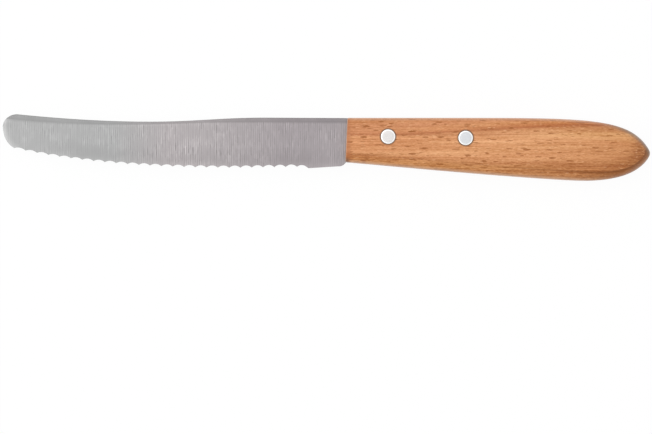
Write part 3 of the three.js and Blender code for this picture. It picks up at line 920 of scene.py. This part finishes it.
def ground_level(tree, lines, point, along, bevel, height):
    """Level that the grinding lines, soft patches and the painted highlight on the nose's rounding multiply
    the tone by.
    """
    patches = streaks(tree, point, PATCHES)
    on_face = ranged(tree, bevel, *BEVEL_BORDER, 1, LINES_ON_BEVEL)
    by_patch = ranged(tree, patches, *PATCH_SPAN, *PATCH_GAINS)
    by_edge = ranged(tree, height, 0, EDGE_LINES_HEIGHT * MM, EDGE_LINES_GAIN, 1)
    contrast = times(tree, grey_ramp(tree, along, LINE_CONTRAST), on_face, by_patch, by_edge)
    level = calc(tree, "MULTIPLY_ADD", off_mean(tree, patches), PATCH_CONTRAST, 1.0)
    level = calc(tree, "MULTIPLY_ADD", lines, contrast, level)
    roll = times(tree, calc(tree, "POWER", attribute(tree, "nose_roll"), 2), on_face)
    return calc(tree, "MULTIPLY_ADD", roll, NOSE_HIGHLIGHT, level)


def make_steel():
    """Cross-ground steel: fine lines from spine to edge, a bevel at the spine darkened as painted shade, a
    painted highlight just below it, painted shade towards the heel, and a paler edge.
    """
    finish, tree, surface = new_finish("cross_ground_steel")
    point = object_point(tree)
    x = split(tree, point)[0]
    along = along_blade(tree, x, (BLADE_LENGTH, 0))
    bevel = attribute(tree, "bevel")
    height = attribute(tree, "edge_height")
    tone = tint(tree, along_blade(tree, x, STEEL_WARMS), STEEL_TIP, STEEL_MIDDLE)
    # painted shade: darker towards the heel
    tone = tint(tree, along_blade(tree, x, STEEL_HEEL_SHADE_SPAN), tone, STEEL_HEEL_SHADED)
    lines = grind_lines(tree, point)
    level = ground_level(tree, lines, point, along, bevel, height)
    tone = multiply(tree, 1.0, tone, grey(tree, level))

    up_bevel = ranged(tree, bevel, -BEVEL_REACH, 1)
    up_edge = ranged(tree, height, 0, EDGE_ZONE * MM)
    # painted shade on the spine's bevel
    strength = grey_ramp(tree, along, BEVEL_SHADE_STRENGTH)
    highlit = minus(tree, along_blade(tree, x, HIGHLIGHT_FROM), along_blade(tree, x, HIGHLIGHT_TO))
    tone = multiply(tree, strength, tone, grey_ramp(tree, up_bevel, BEVEL_SHADE_TONES))
    # painted highlight just below the bevel
    tone = multiply(tree, highlit, tone, grey_ramp(tree, up_bevel, HIGHLIGHT_TONES))
    ground = along_blade(tree, x, EDGE_ZONE_START)
    tone = multiply(tree, ground, tone, grey_ramp(tree, up_edge, EDGE_TONES))
    fill(tree, surface, {
        "Base Color": tone,
        "Metallic": 1.0,
        "Roughness": ranged(tree, lines, *LINE_SPAN, *STEEL_ROUGHNESS),
        "Normal": bump(tree, lines, STEEL_RELIEF * MM),
    })
    return finish


# Beech of the handle, with places along it in millimetres behind the joint
BEECH_RED = colour(205, 138, 88)
BEECH = colour(214, 152, 101)
BEECH_PALE = colour(221, 162, 110)
BEECH_BELLY_SHADE = colour(217, 197, 164)  # multiplies the tone in the painted shade of the rounded lower edge, which is partly a darker band of wood
BEECH_FLECK = colour(150, 83, 18)
BEECH_GLINT = colour(242, 190, 142)
BEECH_FRONT = colour(222, 178, 132)
BEECH_JOINT = colour(168, 98, 54)
# painted highlight: a paler rim along the rounded long edges
BEECH_RIM_HIGHLIGHT = colour(214, 178, 152)
# painted shade on the butt's lower rounded rim
BEECH_BUTT_SHADE = colour(134, 74, 4)
BEECH_LINE = colour(112, 58, 4)
# painted shade on the butt's upper rounded rim
BEECH_RIM_SHADE = colour(124, 97, 72)
# dark tone of the painted shade round the rivet heads and in the lower front corner
BEECH_GAP_SHADE = colour(104, 72, 46)
BEECH_ROUGHNESS = (0.32, 0.46)
BEECH_SPECULAR = 0.3
BEECH_COAT = 0.12
BEECH_COAT_ROUGHNESS = 0.24
BEECH_SHEEN = 0.25
BEECH_RELIEF = 0.03
RAY_RELIEF = -0.6

# Growth bands of the beech
GROWTH_BANDS = (110, 3.8, 6.7)
GROWTH_TONES = ((0.36, BEECH_RED), (0.5, BEECH), (0.64, BEECH_PALE))
BACK_SHADE = colour(228, 211, 199)  # multiplies the tone of the wood below the back's growth line
BACK_SHADE_STRENGTH = (1.0, 0.6)
BACK_SHADE_FADES = (46, 64)
BACK_SHADE_DEPTH = (6.1, 5.0)  # of its border, which rises towards the butt
BACK_SHADE_RISES = (58, 80)
BACK_SHADE_BLUR = 0.35
BACK_LINE_DEPTH = (5.1, 2.4)
BACK_LINE_RISES = (21, 80)
BACK_LINE_STARTS = (6, 30)  # where the line and the shade below it set in
BACK_BAND = (-1.2, 4.8)  # heights about that line that the tones below span
BACK_TONES = (
    (0.0, WHITE),
    (0.1, colour(250, 245, 240)),
    (0.16, colour(232, 211, 194)),
    (0.26, colour(232, 211, 194)),
    (0.44, colour(241, 229, 219)),
    (0.62, colour(233, 216, 212)),
    (1.0, colour(234, 217, 212)),
)
BACK_FRONT = colour(232, 215, 207)  # takes the place of those tones at the front
BACK_REDDENS = (55, 72)  # where the band turns darker towards the butt
BACK_RED = colour(248, 235, 214)
# painted shade along the rounded belly, partly a darker band of wood
BELLY_SHADE_CORE = 2.4
BELLY_SHADE_REACH = (3.8, 8.6)  # at the front and at the belly
BELLY_SHADE_STRENGTH = (0.95, 0.86)
BUTT_SHADE_TINT = colour(240, 236, 222)  # multiplies the tone towards the butt: painted shade for light that falls off there, with a warmer tint
BUTT_SHADE_SPAN = (58, 94)

# Fine grain and flecks of the beech
GRAIN_GAINS = (0.7, 1.08, 1.7)  # of red, green and blue, so that dark fibres stay warm
GRAIN_STRENGTH = (1.3, 1.2)
GRAIN_CALMS = (35, 60)
LOW_GRAIN_GAIN = 1.6  # in the painted shade along the belly
GRAIN_WANDER = (62, 14, 14)
GRAIN_SWAY = 1.2
RAGGED = (1.4, 0.7, 0.7)
RAGGED_SWAY = 0.5
FIBRES = (22, 0.42, 0.6)
FIBRE_CONTRAST = 0.75
DASHES = (1.5, 0.36, 0.9)
DASH_CONTRAST = 0.5
STRIPES = (40, 1.1, 1.6)
STRIPE_CONTRAST = 0.4
PORES = (0.8, 0.34, 0.8)
PORE_CONTRAST = 0.5
END_GRAIN = (6, 0.35, 1.8)
END_GRAIN_TONES = (0.78, 1.08)
END_GRAIN_LEAN = (-0.85, -0.98)  # how far a face has to look forward to show it
END_GRAIN_STRENGTH = 0.8
LEAST_FLECK = 0.6  # of the largest one's size
FLECK_CORE = 0.8
FLECK_RANGE = (0.5, 1)  # from the faintest to the strongest one
FLECK_STRENGTH = (1.0, 0.82)
FLECKS_FADE = (30, 80)
RAY_CELL = (4.8, 0.9, 0.9)
RAY_SIZE = 0.32  # in shares of the cell
RAY_GAPS = 0.15  # share of the cells that stay empty
SPECK_CELL = (3.2, 0.68, 0.68)
SPECK_SIZE = 0.36
SPECK_GAPS = (0.5, 0.2)  # off and on the painted shade along the belly
SPECK_STRENGTH = (0.5, 1.0)
GLINT_CELL = (2.6, 0.5, 0.5)
GLINT_SIZE = 0.32
GLINT_GAPS = 0.45
GLINT_STRENGTH = 0.4

# Stains, painted highlights and painted shade of the beech, with reaches from the outline, the joint or a
# rivet head
RIM_RISES = (0.8, 2)  # from the mid-plane, where the sides turn into the rounded long edges
BELLY_LINE_HEIGHT = (3.0, 1.8)  # of a dark line above the lower outline
BELLY_LINE_FALLS = (78, 96)
BELLY_LINE_WIDTH = (0.1, 0.4)  # half widths of its core and of the whole line
BELLY_LINE_STRENGTH = (0.1, 0.48)
BELLY_LINE_GROWS = (48, 84)
BUTT_DARKENS = (77, 90)
LOWER_RIM_START = 0.3
LOWER_RIM_BLUR = (-0.1, 0.15)
LOWER_RIM_STRENGTH = (0.42, 0.74)  # at the outline and at the dark line
UPPER_RIM_DARKENS = (85, 95)
UPPER_RIM_REACH = (0.4, 1.6)
UPPER_RIM_STRENGTH = 0.85
RIM_HIGHLIGHT_REACH = (0.2, 1.1)
RIM_HIGHLIGHT_STRENGTH = 0.45
JOINT_STAIN_REACH = (0.5, 2.0)
JOINT_STAIN_STRENGTH = 0.6
# painted shadow in the lower front corner, next to the blade's heel
CORNER_SHADE_REACH = (0.3, 1.6)
CORNER_SHADE_HEIGHT = (0.6, 2.0)
CORNER_SHADE_STRENGTH = 0.7
# painted shade: a dark ring round each rivet head
RIVET_SHADE_REACH = (0.1, 0.55)
RIVET_SHADE_STRENGTH = 0.75


def flecks(tree, point, cell, size, gaps):
    """Short spindles along the grain, one at most in each cell, of different lengths and strengths."""
    place = {"Vector": in_grains(tree, point, cell), "Scale": 1.0, "Randomness": 1.0}
    cells = add(tree, "ShaderNodeTexVoronoi", place)
    draw, strength, _ = split(tree, cells.outputs["Color"])
    reach = ranged(tree, draw, gaps, 1.0, LEAST_FLECK * size, size)
    inside = ranged(tree, cells.outputs["Distance"], times(tree, reach, FLECK_CORE), reach, 1, 0)
    strength = ranged(tree, strength, 0, 1, *FLECK_RANGE)
    return times(tree, inside, strength, calc(tree, "GREATER_THAN", draw, gaps))


def rivet_distance(tree, point):
    """Distance to the axis of the nearest rivet."""
    x, y, _ = split(tree, point)
    distances = []
    for place in RIVET_PLACES:
        middle = placed(place)
        along = calc(tree, "POWER", minus(tree, x, middle[0]), 2)
        across = calc(tree, "POWER", minus(tree, y, middle[1]), 2)
        distances.append(calc(tree, "SQRT", plus(tree, along, across)))
    return calc(tree, "MINIMUM", *distances)


def swayed(tree, point, grain, sway):
    """The same point, shifted in height as the grain wanders."""
    wander = off_mean(tree, streaks(tree, point, grain, detail=1))
    offset = join(tree, 0, times(tree, wander, sway * MM), 0)
    return add(tree, "ShaderNodeVectorMath", {0: point, 1: offset}, operation="ADD").outputs[0]


def along_handle(tree, x, span, to_low=0.0, to_high=1.0):
    """Runs from one value to another between two distances behind the joint."""
    return ranged(tree, x, JOINT.x + span[0] * MM, JOINT.x + span[1] * MM, to_low, to_high)


def height_over(tree, x, y, span, depths):
    """Height above a line that runs from one depth below the joint's corner to another."""
    start, end = [JOINT.y - depth * MM for depth in depths]
    return minus(tree, y, along_handle(tree, x, span, start, end))


def growth_bands(tree, point):
    """Soft bands of red and pale wood along the handle, and darker ones along its back."""
    tone = ramp(tree, streaks(tree, point, GROWTH_BANDS, detail=3), GROWTH_TONES)
    x, y, _ = split(tree, point)
    over_border = height_over(tree, x, y, BACK_SHADE_RISES, BACK_SHADE_DEPTH)
    over_line = height_over(tree, x, y, BACK_LINE_RISES, BACK_LINE_DEPTH)
    blur = (-BACK_SHADE_BLUR * MM, BACK_SHADE_BLUR * MM)
    past_border = ranged(tree, over_border, *blur)
    above = ranged(tree, over_line, *blur)
    started = along_handle(tree, x, BACK_LINE_STARTS)
    strength = along_handle(tree, x, BACK_SHADE_FADES, *BACK_SHADE_STRENGTH)
    shaded = times(tree, past_border, minus(tree, 1, above), strength, started)
    tone = multiply(tree, shaded, tone, BACK_SHADE)
    low, high = [height * MM for height in BACK_BAND]
    lined = ramp(tree, ranged(tree, over_line, low, high), BACK_TONES)
    plain = tint(tree, past_border, WHITE, BACK_FRONT)
    tone = multiply(tree, 1.0, tone, tint(tree, started, plain, lined))
    redder = times(tree, above, along_handle(tree, x, BACK_REDDENS))
    return multiply(tree, redder, tone, BACK_RED)


def belly_shade(tree, x, belly):
    """How far the painted shade of the rounded lower edge covers a point."""
    whole = (0, HANDLE_BELLY_AT)
    reach = along_handle(tree, x, whole, *BELLY_SHADE_REACH)
    strength = along_handle(tree, x, whole, *BELLY_SHADE_STRENGTH)
    return times(tree, ranged(tree, belly, BELLY_SHADE_CORE, reach, 1, 0, smooth=True), strength)


def fine_grain(tree, grain, fibres, x, low):
    """Colour that fibres, dashes, stripes and pores multiply the tone by."""
    level = times(tree, off_mean(tree, fibres), FIBRE_CONTRAST)
    for sizes, contrast in ((DASHES, DASH_CONTRAST), (STRIPES, STRIPE_CONTRAST), (PORES, PORE_CONTRAST)):
        level = calc(tree, "MULTIPLY_ADD", off_mean(tree, streaks(tree, grain, sizes)), contrast, level)
    strength = along_handle(tree, x, GRAIN_CALMS, *GRAIN_STRENGTH)
    level = times(tree, level, strength, ranged(tree, low, 0, 1, 1, LOW_GRAIN_GAIN))
    gains = [calc(tree, "MULTIPLY_ADD", level, gain, 1.0) for gain in GRAIN_GAINS]
    return add(tree, "ShaderNodeCombineColor", dict(enumerate(gains))).outputs[0]


def rim_stains_and_painted_light(tree, tone, point, back, belly):
    """Stains the front, and paints a pale highlight along the long edges, shade on the butt's rims and in
    the lower front corner, and a dark line along the belly.
    """
    x, _, z = split(tree, point)
    off_middle = calc(tree, "ABSOLUTE", minus(tree, z, JOINT.z))
    on_rim = ranged(tree, off_middle, *[rise * MM for rise in RIM_RISES])
    butt = along_handle(tree, x, BUTT_DARKENS)
    line_height = along_handle(tree, x, BELLY_LINE_FALLS, *BELLY_LINE_HEIGHT)
    over_line = minus(tree, belly, line_height)

    # painted highlight along the long edges
    edge = ranged(tree, calc(tree, "MINIMUM", back, belly), *RIM_HIGHLIGHT_REACH, RIM_HIGHLIGHT_STRENGTH, 0)
    edge = times(tree, edge, minus(tree, on_rim, butt, clamp=True))
    joint = along_handle(tree, x, JOINT_STAIN_REACH, JOINT_STAIN_STRENGTH, 0)
    # painted shade on the butt's lower rounded rim, darkest at the dark line
    lower = ranged(tree, belly, LOWER_RIM_START, line_height, *LOWER_RIM_STRENGTH)
    lower = times(tree, lower, ranged(tree, over_line, *LOWER_RIM_BLUR, 1, 0), butt)
    line = ranged(tree, calc(tree, "ABSOLUTE", over_line), *BELLY_LINE_WIDTH, 1, 0)
    line = times(tree, line, along_handle(tree, x, BELLY_LINE_GROWS, *BELLY_LINE_STRENGTH))
    # painted shade on the butt's upper rounded rim
    upper = ranged(tree, back, *UPPER_RIM_REACH, UPPER_RIM_STRENGTH, 0)
    upper = times(tree, upper, on_rim, along_handle(tree, x, UPPER_RIM_DARKENS))
    # painted shadow in the lower front corner
    corner = along_handle(tree, x, CORNER_SHADE_REACH, CORNER_SHADE_STRENGTH, 0)
    corner = times(tree, corner, ranged(tree, belly, *CORNER_SHADE_HEIGHT, 1, 0))
    stains_and_painted_light = (
        (edge, BEECH_RIM_HIGHLIGHT),
        (joint, BEECH_JOINT),
        (lower, BEECH_BUTT_SHADE),
        (line, BEECH_LINE),
        (upper, BEECH_RIM_SHADE),
        (corner, BEECH_GAP_SHADE),
    )
    for share, mark_colour in stains_and_painted_light:
        tone = tint(tree, share, tone, mark_colour)
    return tone


def end_grain(tree, tone, point):
    """Shows the ends of the fibres on the handle's front."""
    lean_x = split(tree, add(tree, "ShaderNodeNewGeometry").outputs["Normal"])[0]
    ends = ranged(tree, streaks(tree, point, END_GRAIN), *NOISE_SPAN, *END_GRAIN_TONES)
    sawn = multiply(tree, 1.0, BEECH_FRONT, grey(tree, ends))
    return tint(tree, ranged(tree, lean_x, *END_GRAIN_LEAN, 0, END_GRAIN_STRENGTH), tone, sawn)


def flecked(tree, tone, rays, point, x, low):
    """Adds pale glints, small specks and the dark spindles of the rays to a tone."""
    fewer = along_handle(tree, x, FLECKS_FADE, *FLECK_STRENGTH)
    glints = flecks(tree, point, GLINT_CELL, GLINT_SIZE, GLINT_GAPS)
    specks = flecks(tree, point, SPECK_CELL, SPECK_SIZE, ranged(tree, low, 0, 1, *SPECK_GAPS))
    specks = times(tree, specks, ranged(tree, low, 0, 1, *SPECK_STRENGTH))
    tone = tint(tree, times(tree, glints, GLINT_STRENGTH), tone, BEECH_GLINT)
    tone = tint(tree, times(tree, specks, fewer), tone, BEECH_FLECK)
    return tint(tree, times(tree, rays, fewer), tone, BEECH_FLECK)


def rivet_ring_shade(tree, tone, point):
    """Paints shade on the wood in a dark ring round each rivet head, where the gap lies."""
    ring = [(RIVET_HEAD_DIAMETER / 2 + reach) * MM for reach in RIVET_SHADE_REACH]
    ring_shade = ranged(tree, rivet_distance(tree, point), *ring, RIVET_SHADE_STRENGTH, 0)
    return tint(tree, ring_shade, tone, BEECH_GAP_SHADE)


def make_beech():
    """Oiled beech: soft bands along the handle, fine fibres, and the short dark spindles of its rays."""
    finish, tree, surface = new_finish("oiled_beech")
    point = object_point(tree)
    x = split(tree, point)[0]
    back = attribute(tree, "back")
    belly = attribute(tree, "belly")
    # painted shade along the rounded belly
    low = belly_shade(tree, x, belly)
    grain = swayed(tree, point, GRAIN_WANDER, GRAIN_SWAY)
    ragged = swayed(tree, grain, RAGGED, RAGGED_SWAY)
    fibres = streaks(tree, grain, FIBRES)
    tone = multiply(tree, 1.0, growth_bands(tree, ragged), fine_grain(tree, grain, fibres, x, low))
    # painted shade towards the butt
    tone = multiply(tree, along_handle(tree, x, BUTT_SHADE_SPAN), tone, BUTT_SHADE_TINT)
    tone = multiply(tree, low, tone, BEECH_BELLY_SHADE)
    rays = flecks(tree, ragged, RAY_CELL, RAY_SIZE, RAY_GAPS)
    tone = flecked(tree, tone, rays, ragged, x, low)
    tone = rim_stains_and_painted_light(tree, tone, point, back, belly)
    tone = end_grain(tree, tone, point)
    relief = calc(tree, "MULTIPLY_ADD", rays, RAY_RELIEF, fibres)
    fill(tree, surface, {
        "Base Color": rivet_ring_shade(tree, tone, point),
        "Roughness": ranged(tree, fibres, *NOISE_SPAN, *BEECH_ROUGHNESS),
        "Specular IOR Level": BEECH_SPECULAR,
        "Coat Weight": BEECH_COAT,
        "Coat Roughness": BEECH_COAT_ROUGHNESS,
        "Sheen Weight": BEECH_SHEEN,
        "Normal": bump(tree, relief, BEECH_RELIEF * MM),
    })
    return finish


# Aluminium of the rivets
# painted shade: the rear rivet is a little darker, for light that falls off towards the butt
ALUMINIUM_FRONT = colour(209, 206, 204)
ALUMINIUM_REAR_SHADED = colour(200, 202, 205)
# painted highlight: the rim of each head is paler
ALUMINIUM_RIM_HIGHLIGHT = colour(244, 244, 243)
RIM_SHINE_SHARE = 0.9  # of the head's radius, from where the rim is at its brightest
SANDING_LINES = (5.5, 0.31, 1)
SANDING_TONES = (0.94, 1.04)
ALUMINIUM_ROUGHNESS = (0.26, 0.4)
ALUMINIUM_RELIEF = 0.008


def make_aluminium():
    """Aluminium that was ground flush with the wood: faint lines along the handle, a bright rim that is a
    painted highlight, and painted shade that makes the rear rivet a little darker.
    """
    finish, tree, surface = new_finish("ground_aluminium")
    point = object_point(tree)
    lines = streaks(tree, point, SANDING_LINES)
    rim = [RIVET_HEAD_DIAMETER / 2 * MM * share for share in (RIVET_FLAT_SHARE, RIM_SHINE_SHARE)]
    at_rim = ranged(tree, rivet_distance(tree, point), *rim)
    backward = along_handle(tree, split(tree, point)[0], [place.x for place in RIVET_PLACES])
    # painted shade: darker towards the rear rivet
    tone = tint(tree, backward, ALUMINIUM_FRONT, ALUMINIUM_REAR_SHADED)
    # painted highlight on the rim
    tone = tint(tree, at_rim, tone, ALUMINIUM_RIM_HIGHLIGHT)
    level = ranged(tree, lines, *NOISE_SPAN, *SANDING_TONES)
    fill(tree, surface, {
        "Base Color": multiply(tree, 1.0, tone, grey(tree, level)),
        "Metallic": 1.0,
        "Roughness": ranged(tree, lines, *NOISE_SPAN, *ALUMINIUM_ROUGHNESS),
        "Normal": bump(tree, lines, ALUMINIUM_RELIEF * MM),
    })
    return finish


# Studio
def seen_directly(tree):
    """1 for what the camera sees, directly, in a reflection or through glass."""
    rays = add(tree, "ShaderNodeLightPath").outputs
    reflected = calc(tree, "MAXIMUM", rays["Is Glossy Ray"], rays["Is Transmission Ray"])
    return calc(tree, "MAXIMUM", rays["Is Camera Ray"], reflected)


def make_floor():
    half = FLOOR_SIZE / 2
    corners = np.array([(-half, -half, 0), (half, -half, 0), (half, half, 0), (-half, half, 0)])
    floor = new_piece("floor", corners, [(0, 1, 2, 3)])
    finish, tree, surface = new_finish("white_floor")
    seen = seen_directly(tree)
    white = grey(tree, ranged(tree, seen, 0, 1, FLOOR_BOUNCE, FLOOR_WHITE))
    matt = add(tree, "ShaderNodeBsdfDiffuse", {"Color": white}).outputs[0]
    glow = add(tree, "ShaderNodeEmission", {"Color": WHITE, "Strength": 1.0}).outputs[0]
    share = times(tree, seen, FLOOR_GLOW)
    mixed = add(tree, "ShaderNodeMixShader", {0: share, 1: matt, 2: glow}).outputs[0]
    tree.nodes.remove(surface)
    tree.links.new(mixed, tree.nodes["Material Output"].inputs["Surface"])
    floor.data.materials.append(finish)


def make_light():
    world = bpy.data.worlds.new("soft_studio")
    bpy.context.scene.world = world
    world.use_nodes = True
    tree = world.node_tree
    x, y, z = split(tree, add(tree, "ShaderNodeTexCoord").outputs["Generated"])
    across = ranged(tree, calc(tree, "ABSOLUTE", y), 0, STRIP_HALF_WIDTH, 1, 0, smooth=True)
    strip = times(tree, across, ranged(tree, z, 0, STRIP_FOOT))
    level = calc(tree, "MULTIPLY_ADD", strip, STRIP_LEVEL, WORLD_SIDES)
    level = calc(tree, "MULTIPLY_ADD", x, -WORLD_BUTT_LOSS, level)
    fill(tree, tree.nodes["Background"], {"Color": grey(tree, level), "Strength": 1.0})

    lamp = bpy.data.lights.new("soft_key", "AREA")
    lamp.size = LAMP_SIZE
    lamp.energy = LAMP_POWER
    key = bpy.data.objects.new("soft_key", lamp)
    key.location = LAMP_PLACE
    key.rotation_euler = (-Vector(LAMP_PLACE)).to_track_quat("-Z", "Y").to_euler()
    bpy.context.scene.collection.objects.link(key)


def make_camera():
    """Looks straight down, with the knife in the upper part of the picture as in the photograph."""
    pixel = PHOTO_MM_PER_PIXEL * MM
    above = PHOTO_WIDTH * pixel * LENS / SENSOR
    camera = bpy.data.cameras.new("camera")
    camera.lens = LENS
    camera.sensor_width = SENSOR
    camera.sensor_fit = "HORIZONTAL"
    camera.clip_end = VIEW_REACH
    camera.dof.use_dof = False
    view = bpy.data.objects.new("camera", camera)
    view.location = JOINT + Vector((-JOINT_RIGHT_OF_CENTRE * pixel, -JOINT_ABOVE_CENTRE * pixel, above))
    bpy.context.scene.collection.objects.link(view)
    bpy.context.scene.camera = view


make_camera()
make_light()
make_floor()
aluminium = make_aluminium()
make_blade(make_steel())
make_handle(make_beech())
turning = turning_rule()
make_rivet_halves("rivet_pins", "_pin", pin_profile(), turning, aluminium, 1)
make_rivet_halves("rivet_sleeves", "_sleeve", sleeve_profile(), turning, aluminium, -1)
bpy.context.scene.view_settings.view_transform = "Standard"
